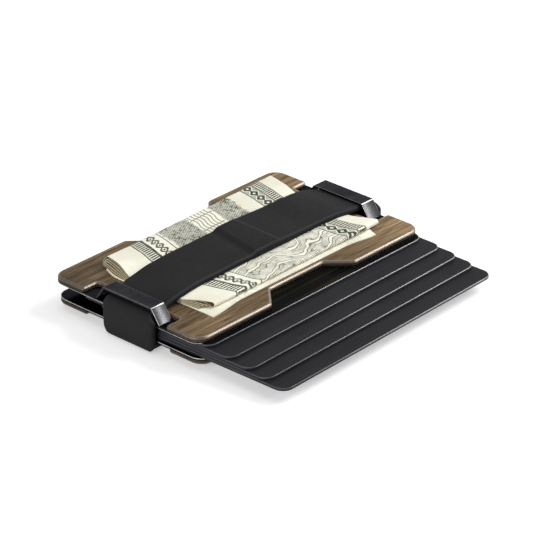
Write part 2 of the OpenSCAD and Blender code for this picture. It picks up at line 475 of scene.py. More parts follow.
def card_face(name, low, high, streak_and_reflection, gloss):
    """Black card with a soft matt face, with faint lines along X in their own tone; on the top card these
    lines are a painted reflection.
    """
    s = Shader(name)
    fine = s.noise((2600, 2600, 2600), detail=3, rough=0.6)
    cloud = s.noise((45, 45, 45), detail=3)
    lines = s.noise((28, 900, 900), detail=3, rough=0.6)
    tone = s.mix(s.spread(cloud), low, high)
    tone = s.mix(s.math("MULTIPLY", s.span(fine, 0.5, 0.8), 0.4), tone, tuple(2.0 * c for c in low))
    tone = s.mix(s.span(lines, 0.52, 0.72), tone, streak_and_reflection)
    s.set(Base_Color=tone, Roughness=s.spread(fine, 0.38, 0.46), Specular_IOR_Level=gloss)
    s.bump(fine, 0.004)
    return s.material


def card_edge(name, low, high, gloss):
    """Cut edge of a card, in a dark plastic that is glossier towards +X and painted paler towards +X as
    painted light.
    """
    s = Shader(name)
    cut = s.noise((300, 300, 5200), detail=4, rough=0.6)
    right = s.span(s.place()[0], -45, 35)
    share = s.math("MULTIPLY_ADD", right, 0.7, s.spread(cut, 0.0, 0.3))
    shine = s.span(right, 0.0, 1.0, 0.32 * gloss, gloss)
    s.set(Base_Color=s.mix(share, low, high), Roughness=s.spread(cut, 0.28, 0.38),
          Specular_IOR_Level=shine)
    return s.material


def adhesive(name):
    """Thin amber glue film."""
    s = Shader(name)
    flow = s.noise((210, 210, 900), detail=4)
    tone = s.mix(s.spread(flow), (0.05, 0.038, 0.024), (0.10, 0.08, 0.055))
    s.set(Base_Color=tone, Roughness=s.spread(flow, 0.3, 0.5))
    s.bump(flow, 0.01)
    return s.material


class Print(Shader):
    """Line patterns in millimetres on a sheet: along its length and over its width."""

    def __init__(self, name):
        super().__init__(name)
        parts = self.node("ShaderNodeSeparateXYZ")
        self.feed(parts.inputs[0], self.node("ShaderNodeUVMap", uv_map="sheet").outputs[0])
        self.along = self.math("MULTIPLY", parts.outputs[0], NOTE_L)
        self.over = self.math("MULTIPLY", parts.outputs[1], NOTE_W)
        self.fibre = self.noise((700, 700, 700), detail=5, rough=0.7)
        self.cloud = self.noise((85, 85, 85), detail=3)
        self.ragged = self.noise((420, 420, 420), detail=5, rough=0.75)
        self.clump = self.span(self.ragged, 0.40, 0.60)

    def line(self, value, at, width):
        return self.span(self.off(value, at), width * 0.5, width * 0.5 + 0.12, 1.0, 0.0)

    def between(self, value, low, high, soft=0.15):
        up = self.span(value, low - soft, low + soft)
        down = self.span(value, high - soft, high + soft, 1.0, 0.0)
        return self.math("MULTIPLY", up, down)

    def wave(self, value, period, phase=0.0):
        return self.math("SINE", self.math("MULTIPLY_ADD", value, 2 * math.pi / period, phase))

    def lozenges(self, middle, half, pitch, steep):
        """Distance from the middle of the nearest lozenge in a row along the sheet, as a share of half."""
        step = self.off(self.math("MODULO", self.along, pitch), pitch / 2)
        return self.math("DIVIDE", self.math("MULTIPLY_ADD", step, steep, self.off(self.over, middle)), half)


# Rules of the border: where they lie over the sheet's width, and how wide they are
RULES = ((8.8, 0.35), (12.4, 0.75), (18.6, 0.2), (53.4, 0.25), (57.8, 0.35), (61.0, 0.25))
PLAIT_AT, PLAIT_PITCH = 15.3, 4.4
CHAIN_AT, CHAIN_PITCH = 55.6, 3.2
PANEL_PITCH = 6.4
RIBBON_PITCH = 3.9
PAPER_DEEP, PAPER_PALE = (0.77, 0.75, 0.62), (0.90, 0.88, 0.76)
# Browns of the painted shade along a note's long edges, inside the wad's ends
EDGE_SHADE_DEEP, EDGE_SHADE_PALE = (0.19, 0.145, 0.075), (0.29, 0.23, 0.13)
INK = (0.034, 0.050, 0.032)


def border(s):
    """A border along each long edge: rules with a dense row of ticks, a plait and a chain of lozenges."""
    along, over = s.along, s.over
    rules = s.most(*[s.line(over, at, width) for at, width in RULES])
    ticked = s.most(s.between(over, 9.3, 11.9), s.between(over, 58.2, 60.7))
    ticks = s.times(ticked, s.span(s.wave(along, 0.85), -0.55, -0.05))
    waves = [s.wave(along, PLAIT_PITCH, turn) for turn in (0.0, math.pi)]
    strands = [s.math("MULTIPLY_ADD", wave, 1.15, PLAIT_AT) for wave in waves]
    plait = s.most(*[s.line(s.math("SUBTRACT", over, strand), 0.0, 0.75) for strand in strands])
    spots = s.span(s.wave(along, PLAIT_PITCH / 2, math.pi / 2), -0.75, -0.55, 1.0, 0.0)
    eyes = s.times(s.between(over, PLAIT_AT - 0.4, PLAIT_AT + 0.4), spots)
    slim = s.lozenges(CHAIN_AT, 1.8, CHAIN_PITCH, 0.9)
    chain = s.times(s.span(slim, 0.85, 0.95, 1.0, 0.0), s.span(slim, 0.22, 0.36))
    ground = s.times(s.between(over, CHAIN_AT - 2.0, CHAIN_AT + 2.0), s.span(slim, 1.05, 1.2), 0.5)
    return s.most(rules, ticks, s.times(plait, 0.95), eyes, chain, ground)


def panels(s):
    """Two leafy patches with ragged edges, and a finely lined panel between them."""
    along, over = s.along, s.over
    leafy = s.span(s.noise((1300, 1300, 1300), detail=3, rough=0.7), 0.44, 0.54)
    left = s.between(s.math("MULTIPLY_ADD", s.ragged, 4.0, over), 21.5, 32.5, 0.5)
    right = s.between(s.math("MULTIPLY_ADD", s.ragged, -4.0, over), 37.5, 45.5, 0.5)
    hatch = s.span(s.wave(s.math("MULTIPLY_ADD", over, 0.6, along), 0.8), -0.3, 0.5)
    ground = s.math("MULTIPLY_ADD", hatch, 0.25, 0.36)
    leaf = s.times(s.most(left, right), s.math("MULTIPLY_ADD", s.times(leafy, s.clump), 0.50, ground))
    bow = s.math("MULTIPLY_ADD", s.wave(along, PANEL_PITCH), 0.35, over)
    lined = s.times(s.between(over, 31.0, 38.6, 0.2), s.span(s.wave(bow, 1.3), 0.30, 0.80), 0.7)
    bars = s.line(s.math("MODULO", along, PANEL_PITCH), PANEL_PITCH / 2, 0.25)
    frames = s.times(s.between(over, 30.6, 39.0), bars, 0.8)
    return s.most(leaf, lined, frames)


def ribbons(s):
    """Winding ribbons on a finely hatched ground."""
    along, over = s.along, s.over
    drift = s.noise((130, 130, 130), detail=2, rough=0.5)
    wind = s.math("MULTIPLY_ADD", s.wave(over, 23.0), 1.6, s.math("MULTIPLY_ADD", drift, 9.0, along))
    lane = s.math("MODULO", s.math("ADD", wind, 60.0), RIBBON_PITCH)
    gap = s.math("SUBTRACT", 1.0, s.between(lane, 1.0, 2.1, 0.1))
    outline = s.most(s.line(lane, 1.0, 0.12), s.line(lane, 2.1, 0.20), s.line(lane, 3.0, 0.05))
    hatch = s.span(s.wave(s.math("SUBTRACT", over, along), 0.7), -0.5, 0.5)
    ground = s.times(gap, s.math("MULTIPLY_ADD", s.clump, 0.55, 0.32), hatch)
    knots = s.times(s.span(s.ragged, 0.60, 0.66), s.span(s.fibre, 0.40, 0.55), 0.9)
    return s.times(s.most(s.times(outline, 0.85), ground, knots), s.between(over, 18.8, 53.0))


def cotton(s, edge_shade):
    """Tone of the bare paper, with painted shade in brown along its two long edges."""
    cream = s.mix(s.spread(s.cloud), PAPER_DEEP, PAPER_PALE)
    flecks = s.math("MULTIPLY", s.span(s.fibre, 0.55, 0.75), 0.3)
    cream = s.mix(flecks, cream, tuple(0.8 * c for c in PAPER_DEEP))
    painted_shade = s.mix(s.spread(s.cloud), EDGE_SHADE_DEEP, EDGE_SHADE_PALE)
    edge = s.span(s.off(s.over, NOTE_W / 2), NOTE_W / 2 - 2.4, NOTE_W / 2 - 0.7)
    return s.mix(s.math("MULTIPLY", edge, edge_shade), cream, painted_shade)


def note_paper(name, strength, edge_shade=0.0):
    """Cotton paper with an ornament in dark green, whose ribbons lie beside the near fold."""
    s = Print(name)
    near_half = s.between(s.along, 60.0, 96.0, 0.5)
    far_half = s.math("SUBTRACT", 1.0, near_half)
    ink = s.most(border(s), s.times(panels(s), far_half), s.times(ribbons(s), near_half))
    worn = s.span(s.fibre, 0.25, 0.55, 0.75 * strength, strength)
    tone = s.mix(s.math("MULTIPLY", ink, worn), cotton(s, edge_shade), INK)
    s.set(Base_Color=tone, Roughness=s.spread(s.fibre, 0.72, 0.88), Specular_IOR_Level=0.2)
    s.bump(s.math("MULTIPLY_ADD", s.fibre, 0.6, s.cloud), 0.06)
    return s.material


def note_cut(name):
    """Cut edge of the paper, a little yellowed."""
    s = Shader(name)
    fibre = s.noise((1800, 1800, 5000), detail=4, rough=0.7)
    tone = s.mix(s.spread(fibre), (0.62, 0.56, 0.38), (0.84, 0.79, 0.61))
    s.set(Base_Color=tone, Roughness=s.spread(fibre, 0.75, 0.9), Specular_IOR_Level=0.2)
    return s.material


FACE_TONES = (0.050, 0.032, 0.017), (0.170, 0.113, 0.059), (0.32, 0.226, 0.134)
EDGE_TONES = (0.06, 0.040, 0.027), (0.13, 0.09, 0.06), (0.22, 0.16, 0.11)
SIDE_TONES = (0.026, 0.018, 0.013), (0.05, 0.035, 0.025), (0.08, 0.058, 0.042)
WALNUT = walnut("walnut", FACE_TONES, gloss=0.08, rough=0.5, relief=1.0).material
WALNUT_EDGE = walnut_edge("walnut_edge", EDGE_TONES)
WALNUT_SIDE = walnut("walnut_side", SIDE_TONES, gloss=0.1, rough=0.6, relief=0.4).material
PLATE_BLACK = black_metal("plate_black", (0.016, 0.016, 0.017), rough=0.18, dents_mm=0.004)
PLATE_EDGE = cut_metal_and_highlight("plate_edge", (0.45, 0.45, 0.46), rough=0.22)
LOOP_BLACK = black_metal("loop_black", (0.038, 0.038, 0.040), rough=0.19, dents_mm=0.009)
LOOP_EDGE = cut_metal_and_highlight("loop_edge", (0.14, 0.14, 0.15), rough=0.24)
# Bright metal that paints highlights on a loop's near bend, near leg and the inside of its far leg
LOOP_HIGHLIGHT = cut_metal_and_highlight("loop_highlight", (0.50, 0.50, 0.53), rough=0.26)
BAND_BLACK = silicone("band_black")
BLACK_TONES = (0.012, 0.012, 0.014), (0.017, 0.017, 0.020), (0.019, 0.019, 0.022)
# Top card: darker tones as painted shade under the upper plate, and olive lines as a painted reflection of
# the walnut
SHADED_TONES = (0.002, 0.002, 0.002), (0.003, 0.003, 0.003), (0.016, 0.014, 0.006)
CARD_BLACK = card_face("card_black", *BLACK_TONES, gloss=0.04)
CARD_SHADED = card_face("card_shaded", *SHADED_TONES, gloss=0.012)
# The upper rounding of a card's edge is paler than its side: a painted highlight
CARD_EDGE_HIGHLIGHT = card_edge("card_edge", (0.030, 0.030, 0.037), (0.105, 0.105, 0.120), gloss=1.0)
CARD_SIDE = card_edge("card_side", (0.022, 0.022, 0.025), (0.036, 0.036, 0.040), gloss=0.25)
GLUE = adhesive("glue_film")
NOTE = note_paper("note_paper", strength=1.0)
NOTE_PLAIN = note_paper("note_paper_plain", strength=0.18)
# Notes with painted shade along their long edges
NOTE_EDGE_SHADE = note_paper("note_paper_edge_shade", strength=0.8, edge_shade=1.0)
NOTE_CUT = note_cut("note_cut")


# Scales, plates and cards

SCALE_EDGE_R, SCALE_INNER_R = 0.70, 0.04
CUT_R, CUT_BAND = 0.12, 0.14
CARD_EDGE_R, CARD_LOW_R = 0.22, 0.08


def shifted(y):
    return lambda a, b, height: (a, b + y, height)


def scale(name, body, node, face_up, y=0.0):
    """A scale with a rounded outer edge, and a darker side."""
    low, high = foot_of(node), top_of(node)
    if face_up:
        radii, zones = (SCALE_INNER_R, SCALE_EDGE_R), (2, 2, 1)
    else:
        radii, zones = (SCALE_EDGE_R, SCALE_INNER_R), (1, 2, 2)
    bm = bmesh.new()
    add_slab(bm, scale_outline(), edge_profile(low, high, *radii, steps=6, zones=zones), shifted(y))
    put(finish_mesh(bm, name, [WALNUT, WALNUT_EDGE, WALNUT_SIDE]), body, "walnut", node)


def plate(name, body, node, cards_above, y=0.0, holes=()):
    """A plate whose edge towards the cards is cut bright."""
    low, high = foot_of(node), top_of(node)
    if cards_above:
        zones, bands = (0, 0, 1), [(high - CUT_R - CUT_BAND, 1)]
    else:
        zones, bands = (1, 1, 0), [(low + CUT_R + CUT_BAND, 0)]
    bm = bmesh.new()
    rows = edge_profile(low, high, CUT_R, CUT_R, steps=2, zones=zones, bands=bands)
    add_slab(bm, plate_outline(), rows, shifted(y), holes)
    put(finish_mesh(bm, name, [PLATE_BLACK, PLATE_EDGE]), body, "plate", node)


def tab_slots():
    half_x, half_y = TAB_W / 2 + TAB_CLEAR, LEG_T / 2 + TAB_CLEAR
    at = FOOT_OUT - LEG_T / 2
    return [rectangle(x, LOOP_Y + y, half_x, half_y) for x in (-LOOP_X, LOOP_X) for y in (-at, at)]


def card(index):
    """A card, turned a little and pushed out of the stack; the top one's face is painted darker, as painted
    shade, with a painted reflection along X.
    """
    node = f"card_{index + 1}"
    turn = math.radians(CARD_TURN[index])
    out = CARD_OUT[index]

    def place(a, b, height):
        x = a * math.cos(turn) - b * math.sin(turn) + CARD_SHIFT
        y = a * math.sin(turn) + b * math.cos(turn) - out
        return (x, y, height)

    bm = bmesh.new()
    rows = edge_profile(foot_of(node), top_of(node), CARD_LOW_R, CARD_EDGE_R, steps=3, zones=(2, 2, 1))
    add_slab(bm, card_outline(), rows, place)
    face = CARD_SHADED if index == 0 else CARD_BLACK
    put(finish_mesh(bm, f"{node}_piece", [face, CARD_EDGE_HIGHLIGHT, CARD_SIDE]), node, "card", node)


# Loops

LOOP_EDGE_R = 0.12
# Below this depth under the bar's top a face belongs to a leg
BAR_DEEP = 0.5
# Upward part of the normals on the bright strip of a bend, a painted highlight
HIGHLIGHT_LOW, HIGHLIGHT_HIGH = 0.78, 0.93


def paint_loop_highlights(bm):
    """Sorts a loop's faces: painted highlights on its near bend, its near leg's edges and inside its far leg.
    """
    bm.normal_update()
    for face in bm.faces:
        normal, middle = face.normal, face.calc_center_median()
        near, leg = middle.y < LOOP_Y, middle.z < Z_BAR - BAR_DEEP
        if near and abs(normal.x) < 0.1 and HIGHLIGHT_LOW < normal.z < HIGHLIGHT_HIGH:
            face.material_index = 2
        elif not near and normal.y < -0.7 and leg:
            face.material_index = 2
        elif face.material_index == 1 and leg:
            face.material_index = 2 if near else 0


def loop(name, node, x):
    """A bent bridge with two splayed legs, and a tab below each leg."""
    lean = (FOOT_OUT - BAR_HALF) / (Z_BAR - Z_FOOT)
    eave = BAR_HALF + lean * LOOP_T - LEG_T
    near_leg = [
        (-FOOT_OUT, Z_FOOT, 0), (-FOOT_OUT + LEG_T, Z_FOOT, 0), (-eave, Z_BAR_LOW, LOOP_BEND),
    ]
    bends = [(BAR_HALF, Z_BAR, LOOP_BEND + LOOP_T), (-BAR_HALF, Z_BAR, LOOP_BEND + LOOP_T)]
    outline = rounded(near_leg + mirror_x(near_leg) + bends)
    bm = bmesh.new()
    rows = edge_profile(x - LOOP_W / 2, x + LOOP_W / 2, LOOP_EDGE_R, LOOP_EDGE_R, steps=3, zones=(1, 0, 1))
    add_slab(bm, outline, rows, lambda a, b, height: (height, a + LOOP_Y, b))
    paint_loop_highlights(bm)
    rows = edge_profile(Z_PLATE_HIGH, Z_FOOT + TAB_SINK, TAB_R, TAB_R, steps=1, zones=(0, 0, 0))
    for side in (-1, 1):
        at = LOOP_Y + side * (FOOT_OUT - LEG_T / 2)
        add_slab(bm, np.array(rectangle(x, at, TAB_W / 2, LEG_T / 2)), rows, upright)
    put(finish_mesh(bm, name, [LOOP_BLACK, LOOP_EDGE, LOOP_HIGHLIGHT], sharp_deg=30), "upper_half", "loop", node)


# Band

BEND_IN = 1.2
BEND_TOP = BEND_IN + BAND_T
BEND_LOW = 0.9
FAR_CORNER, NEAR_CORNER = 2.7, 1.2
TOP_R, OUTER_R, INNER_R = 0.95, 1.15, 0.3
# The right end of the strap is drawn up towards its bar, which makes it narrower
RIGHT_LIFT, LIFT_NARROWS = 0.8, 1.6
BEND_X = BAND_IN - BEND_IN
BAND_OUT = BAND_IN + BAND_T
# Middle of the band and its width: on the top run, in the loops, on the end runs and below
STRAP_Y, STRAP_W = -0.4, 18.0
BEND_Y, BEND_W = -1.5, 16.6
WALL_Y, WALL_W = -2.5, 18.7
BASE_Y, BASE_W = -2.2, 18.0
# Where the strap starts to narrow towards a loop, and the lengths of that and of the same change below
NARROW_FROM, NARROW_LONG, BASE_LONG = 34.0, 8.0, 9.0

# Height of the strap's top face over the upper scale, along its far and near edges
FAR_LINE = [
    (-BEND_X, BAND_T), (-39, BAND_T), (-36, 1.75), (-32, 2.3), (-29, 2.9), (-25.5, 3.3), (-19, 3.6),
    (-10, 3.65), (0, 3.8), (8, 3.8), (18, 3.8), (26, 3.75), (31, 3.5), (36, 2.75), (39, 2.3),
    (BEND_X, BAND_T + RIGHT_LIFT),
]
NEAR_LINE = [
    (-BEND_X, BAND_T), (-39, BAND_T), (-36, 2.15), (-33, 2.75), (-28, 3.35), (-23, 3.65), (-18, 3.6),
    (-10, 3.75), (0, 3.65), (8, 3.65), (18, 3.75), (26, 3.7), (32, 3.25), (36, 2.6), (39, 2.3),
    (BEND_X, BAND_T + RIGHT_LIFT),
]

# Bump over a fold of the notes: where it rises and how tall it is, each with its change to the far edge
BUMP_AT, BUMP_SLANT = -2.2, 1.4
BUMP_TALL, BUMP_TILT = 0.62, 0.11
# Lengths of its rise and of its run-out, and the share of it that ends at the crease
BUMP_RISE, BUMP_RUN = 2.1, 13.0
CREASE_DROP, CREASE_LONG = 0.30, 1.0
# Dip before the bump
DIP_BEFORE, DIP_LONG, DIP_DEEP = 1.7, 0.85, 0.12


def strap_base(x, s):
    """Height of the strap's top run without its bump; s is -1 on the near edge and 1 on the far edge."""
    share = (s + 1) / 2
    return Z_TOP + curve(x, NEAR_LINE) * (1 - share) + curve(x, FAR_LINE) * share


def strap_top(x, s):
    """Height of the top face, with a bump over a fold of the notes, a crease on it and a dip before it."""
    rise_at = BUMP_AT + BUMP_SLANT * s
    tall = BUMP_TALL + BUMP_TILT * s
    step = CREASE_DROP * (1 - smooth((x - CREASE_X) / CREASE_LONG + 0.5))
    slope = (1 - CREASE_DROP) * (1 - smooth((x - CREASE_X) / BUMP_RUN))
    bump = tall * smooth((x - rise_at) / BUMP_RISE + 0.5) * (step + slope)
    dip = DIP_DEEP * np.exp(-((x - rise_at + DIP_BEFORE) / DIP_LONG) ** 2)
    return strap_base(x, s) + bump - dip


def band_section(r):
    """Points (across, depth) round a cross-section with outer corners r, as shares from -1 or 0 to 1."""
    k, half = INNER_R, BAND_W / 2
    turn = np.linspace(0, math.pi / 2, 7)
    flat = np.linspace(-half + r, half - r, 19)[1:-1]
    rows = [(-half + r - r * math.cos(t), r - r * math.sin(t)) for t in turn]
    rows += [(y, 0.0) for y in flat]
    rows += [(half - r + r * math.sin(t), r - r * math.cos(t)) for t in turn]
    rows += [(half - k + k * math.cos(t), BAND_T - k + k * math.sin(t)) for t in turn[::2]]
    rows += [(y, BAND_T) for y in flat[::-1]]
    rows += [(-half + k - k * math.sin(t), BAND_T - k + k * math.cos(t)) for t in turn[::2]]
    return np.array([(y / half, depth / BAND_T) for y, depth in rows])


def drawn_in(z):
    """Middle and width of an end run at height z, where its two lower corners are rounded."""
    far, near = WALL_Y + WALL_W / 2, WALL_Y - WALL_W / 2
    for radius, side in ((FAR_CORNER, 1), (NEAR_CORNER, -1)):
        up = max(radius - z, 0.0)
        depth = radius - math.sqrt(radius ** 2 - up ** 2)
        if side > 0:
            far -= depth
        else:
            near += depth
    return (far + near) / 2, far - near


def bend_width(lift):
    return BEND_W - LIFT_NARROWS * lift


def band_end(lift):
    """Rows (outer x, outer z, inner x, inner z, middle y, width) down the right end of the band."""
    high, low = Z_TOP - BEND_IN + lift, BAND_T + BEND_IN
    quarter = math.pi / 2
    rows = []
    for t in np.linspace(0, 1, 11):
        out, up = math.sin(t * quarter), math.cos(t * quarter)
        outer = (BEND_X + BEND_TOP * out, high + BEND_TOP * up)
        inner = (BEND_X + BEND_IN * out, high + BEND_IN * up)
        rows.append((*outer, *inner, ease(BEND_Y, WALL_Y, t), ease(bend_width(lift), WALL_W, t)))
    for t in np.linspace(0, 1, 22)[1:-1]:
        z = high + t * (BEND_LOW - high)
        rows.append((BAND_OUT, z, BAND_IN, high + t * (low - high), *drawn_in(z)))
    for t in np.linspace(0, 1, 9):
        out, down = math.cos(t * quarter), math.sin(t * quarter)
        outer = (BAND_OUT - BEND_LOW + BEND_LOW * out, BEND_LOW - BEND_LOW * down)
        inner = (BEND_X + BEND_IN * out, low - BEND_IN * down)
        rows.append((*outer, *inner, *drawn_in(outer[1])))
    return rows


def band():
    """The whole elastic band as one closed tube, which runs round the two halves."""
    section, crisp = band_section(OUTER_R), band_section(TOP_R)
    bm = bmesh.new()
    rings = []

    def add(ox, oz, ix, iz, y, width):
        rings.append([
            bm.verts.new((ox + (ix - ox) * d, y + a * width / 2, oz + (iz - oz) * d)) for a, d in section
        ])

    for x in np.linspace(-BEND_X, BEND_X, 260)[1:-1]:
        t = (abs(x) - NARROW_FROM) / NARROW_LONG
        end_w = bend_width(RIGHT_LIFT if x > 0 else 0.0)
        y, width = ease(STRAP_Y, BEND_Y, t), ease(STRAP_W, end_w, t)
        ring = []
        for a, d in ease(crisp, section, t):
            top, low = strap_top(x, a), strap_base(x, a) - BAND_T
            ring.append(bm.verts.new((x, y + a * width / 2, top + (low - top) * d)))
        rings.append(ring)
    for row in band_end(RIGHT_LIFT):
        add(*row)
    tip_y, tip_w = drawn_in(0.0)
    for x in np.linspace(BEND_X, -BEND_X, 60)[1:-1]:
        t = (BEND_X - abs(x)) / BASE_LONG
        add(x, 0.0, x, BAND_T, ease(tip_y, BASE_Y, t), ease(tip_w, BASE_W, t))
    for ox, oz, ix, iz, y, width in reversed(band_end(0.0)):
        add(-ox, oz, -ix, iz, y, width)
    n = len(section)
    for k, ring in enumerate(rings):
        after = rings[(k + 1) % len(rings)]
        for j in range(n):
            i = (j + 1) % n
            bm.faces.new((ring[j], after[j], after[i], ring[i]))
    bmesh.ops.recalc_face_normals(bm, faces=bm.faces)
    piece = finish_mesh(bm, "elastic_band", [BAND_BLACK], sharp_deg=60)
    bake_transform(piece)
    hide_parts("cash_strap", "band_walls", "band_base")


# Notes

# A point of a note has a place p along the note's width, and a place q across the wad
NOTE_P = np.linspace(-NOTE_W / 2, NOTE_W / 2, 61)
WAD_Y = 1.4
WAD_TILT, TILT_Q = 0.030, (-16.0, 4.0)
WAD_GAP = 0.04
STACK = 2.7
UNDER_T = 0.30
PAPER = 0.09
STRAP_CLEAR = 0.05
FAR_END = 20.2
RUN_STEPS = 34
# Beside the strap the wad takes its free height over these lengths, from this far off the strap's edge
FAR_EASE, NEAR_EASE, EDGE_CLEAR = 6.5, 7.0, 0.2
LEAST_HEIGHT = 0.4
BROAD_CRUMPLE, FINE_CRUMPLE = 0.10, 0.06
# Height of the wad over the upper scale along its free edges, by place along the note's width
FAR_RISE = [(-33, 2.8), (-15, 2.6), (10, 2.55), (33, 2.6)]
NEAR_RISE = [(-33, 1.75), (-26, 1.65), (-12, 1.4), (4, 1.35), (16, 1.45), (26, 1.85), (33, 2.1)]
# How far each row of a sheet is slid along X, by its place across the wad
TOP_SLIDE = [(-19.5, 4.0), (-15, 2.1), (-10.4, 0.6), (0, 0.4), (10, 1.2), (15, 2.2), (21, 3.3)]
LOW_SLIDE = [(-22, 0.7), (-9, 0.5), (0, -0.2), (10, -0.8), (13, -0.8), (14.5, -0.5), (17.8, 0.8), (21, 1.7)]
# Near corners of the under note, which are pulled outwards, and the right one also towards -X
TIP_P, TIP_Q = (20.0, 33.0), (-17.0, -21.0)
TIP_OUT, TIP_DRAWN = 1.5, 1.9
# The upper runs are narrower at the near fold, and the rolled leaf is tucked in at its left
NARROWER, NARROWER_Q = 0.6 / 33.0, (-10.0, -18.0)
TUCK, TUCK_P = 1.0, (0.0, -25.0)
# The inner notes droop towards their near folds, and the rolled leaves sag into the scroll
DROOP, DROOP_Q = 0.38, (-14.5, -17.5)
SAG = {"high_b": 0.92, "high_c": 0.50}
SAG_LONG, SAG_CLEAR = 1.1, 0.10
# A fold bulges by half the gap that it closes, within these limits, and a last leaf ends a little short
FOLD_REACH = (0.06, 1.35)
ROLL_SHORT, LEAF_SHORT = 0.1, 0.25
FAR_FOLD = FAR_END - FOLD_REACH[1]
UNDER_FOLD = FAR_END - 2.6


def across_wad(p, q, flat):
    """Y of a point of a note; the corners of a flat one are pulled outwards."""
    tilt = WAD_TILT * ramp(q, *TILT_Q)
    tips = TIP_OUT * ramp(np.abs(p), *TIP_P) * ramp(q, *TIP_Q) if flat else 0.0
    return WAD_Y + q + tilt * p - tips


def wad_height(x, y, p, q):
    """Thickness of the whole wad above the upper scale."""
    s = np.clip((y - STRAP_Y) / (STRAP_W / 2), -1, 1)
    under = strap_base(x, s) - BAND_T - Z_TOP - STRAP_CLEAR
    edge = STRAP_W / 2 + EDGE_CLEAR
    far = ramp(y - STRAP_Y, edge, edge + FAR_EASE)
    near = ramp(STRAP_Y - y, edge, edge + NEAR_EASE)
    crumple = BROAD_CRUMPLE * np.sin(0.55 * p + 0.9 * np.sin(0.31 * q))
    crumple += FINE_CRUMPLE * np.sin(1.15 * p - 0.6 * q)
    free = np.where(q > 0, curve(p, FAR_RISE) + 0.5 * crumple, curve(p, NEAR_RISE) + crumple)
    return np.maximum(under, LEAST_HEIGHT) * (1 - far - near) + free * (far + near)


class Fold:
    """One note's place in the wad: where its folds and free edge lie, and the depth of each of its runs.

    depths are in a wad of full height, from its top for the high runs and from its foot for the low ones.
    """

    # The runs that each fold joins, from the lower end of its arc to the upper one
    ENDS = {
        "fold_a": ("low_a", "high_a"), "fold_b": ("low_b", "high_b"),
        "curl": ("high_b", "high_a"), "roll": ("high_b", "high_c"),
    }

    def __init__(self, far, near, free, flat=False, **depths):
        self.far, self.near, self.free = far, near, free
        self.flat = flat
        self.depths = depths
        self.rolled = "high_c" in depths

    def rows(self):
        """Path of the sheet from one free edge to the other: rows (run, place) or (fold, angle)."""
        far, near, free = self.far, self.near, self.free
        rows = [("low_a", q) for q in np.linspace(free, far, RUN_STEPS)]
        rows += [("fold_a", t) for t in np.linspace(-90, 90, 16)[1:-1]]
        rows += [("high_a", q) for q in np.linspace(far, near, RUN_STEPS)]
        rows += [("curl", t) for t in np.linspace(90, -90, 14)[1:-1]]
        rows += [("high_b", q) for q in np.linspace(near, far, RUN_STEPS)]
        if self.rolled:
            rows += [("roll", t) for t in np.linspace(-90, 90, 10)[1:-1]]
            rows += [("high_c", q) for q in np.linspace(far, near + ROLL_SHORT, RUN_STEPS)]
        else:
            rows += [("fold_b", t) for t in np.linspace(90, -90, 14)[1:-1]]
            rows += [("low_b", q) for q in np.linspace(far, free + LEAF_SHORT, RUN_STEPS)]
        return rows

    def slide(self, run, q):
        """How far a run is slid along X at q, over the note's width."""
        if self.flat:
            return curve(q, LOW_SLIDE) - TIP_DRAWN * ramp(NOTE_P, *TIP_P) * ramp(q, *TIP_Q)
        depth = self.depths[run]
        height = UNDER_T + depth if run.startswith("low") else STACK - depth
        low = curve(q, LOW_SLIDE)
        top = curve(q, TOP_SLIDE) - NARROWER * NOTE_P * ramp(q, *NARROWER_Q)
        tucked = TUCK * ramp(NOTE_P, *TUCK_P) if run == "high_c" else 0.0
        return low + (top - low) * height / STACK + tucked

    def level(self, run, q):
        """Height of a run at q, over the note's width."""
        tall = wad_height(NOTE_P + self.slide(run, q), across_wad(NOTE_P, q, self.flat), NOTE_P, q)
        press = np.minimum(1.0, tall / STACK)
        depth = self.depths[run] * press
        if self.flat:
            return WAD_GAP + depth
        foot = WAD_GAP + UNDER_T * press
        droop = 0.0 if self.rolled else DROOP * ramp(q, *DROOP_Q)
        if run.startswith("low"):
            return foot + depth * (1 - droop)
        high = foot + (tall - depth - foot) * (1 - droop)
        if self.rolled and run in SAG:
            room = np.maximum(high - foot - SAG_CLEAR, 0.0)
            high = high - SAG[run] * room * math.exp(-((q - self.near) / SAG_LONG) ** 2)
        return high

    def bend(self, fold, degrees):
        """X, place across the wad and height of one row of a fold."""
        end = self.near if fold == "curl" else self.far
        low, high = (self.level(run, end) for run in self.ENDS[fold])
        first, last = (self.slide(run, end) for run in self.ENDS[fold])
        t = math.radians(degrees)
        half = (high - low) / 2
        reach = np.clip(half, *FOLD_REACH) * (-1 if fold == "curl" else 1)
        x = NOTE_P + first + (last - first) * (math.sin(t) + 1) / 2
        return x, end + reach * math.cos(t), (low + high) / 2 + half * math.sin(t)

    def surface(self):
        """Middle surface as a grid of points, with the share of the sheet's length at each row."""
        points = []
        for part, v in self.rows():
            if part in self.ENDS:
                x, q, z = self.bend(part, v)
            else:
                x, q, z = NOTE_P + self.slide(part, v), np.full_like(NOTE_P, v), self.level(part, v)
            points.append(np.c_[x, across_wad(NOTE_P, q, self.flat), z + Z_TOP])
        points = np.array(points)
        middle = points[:, len(NOTE_P) // 2]
        step = np.linalg.norm(np.diff(middle, axis=0), axis=1)
        length = np.concatenate([[0], np.cumsum(step)])
        return points, length / length[-1]


FOLDS = {
    "under_note": Fold(UNDER_FOLD, -20.9, -21.1, True, low_a=0.0, low_b=0.08, high_b=0.16, high_a=0.24),
    "outer_note": Fold(FAR_FOLD, -19.0, -17.0, low_a=0.06, high_a=0.05, high_c=0.15, high_b=0.25),
    "middle_note": Fold(FAR_FOLD, -18.0, -17.2, low_a=0.36, low_b=0.46, high_a=0.62, high_b=0.72),
    "inner_note": Fold(FAR_FOLD, -17.4, -16.8, low_a=0.76, low_b=0.86, high_a=1.06, high_b=1.16),
}


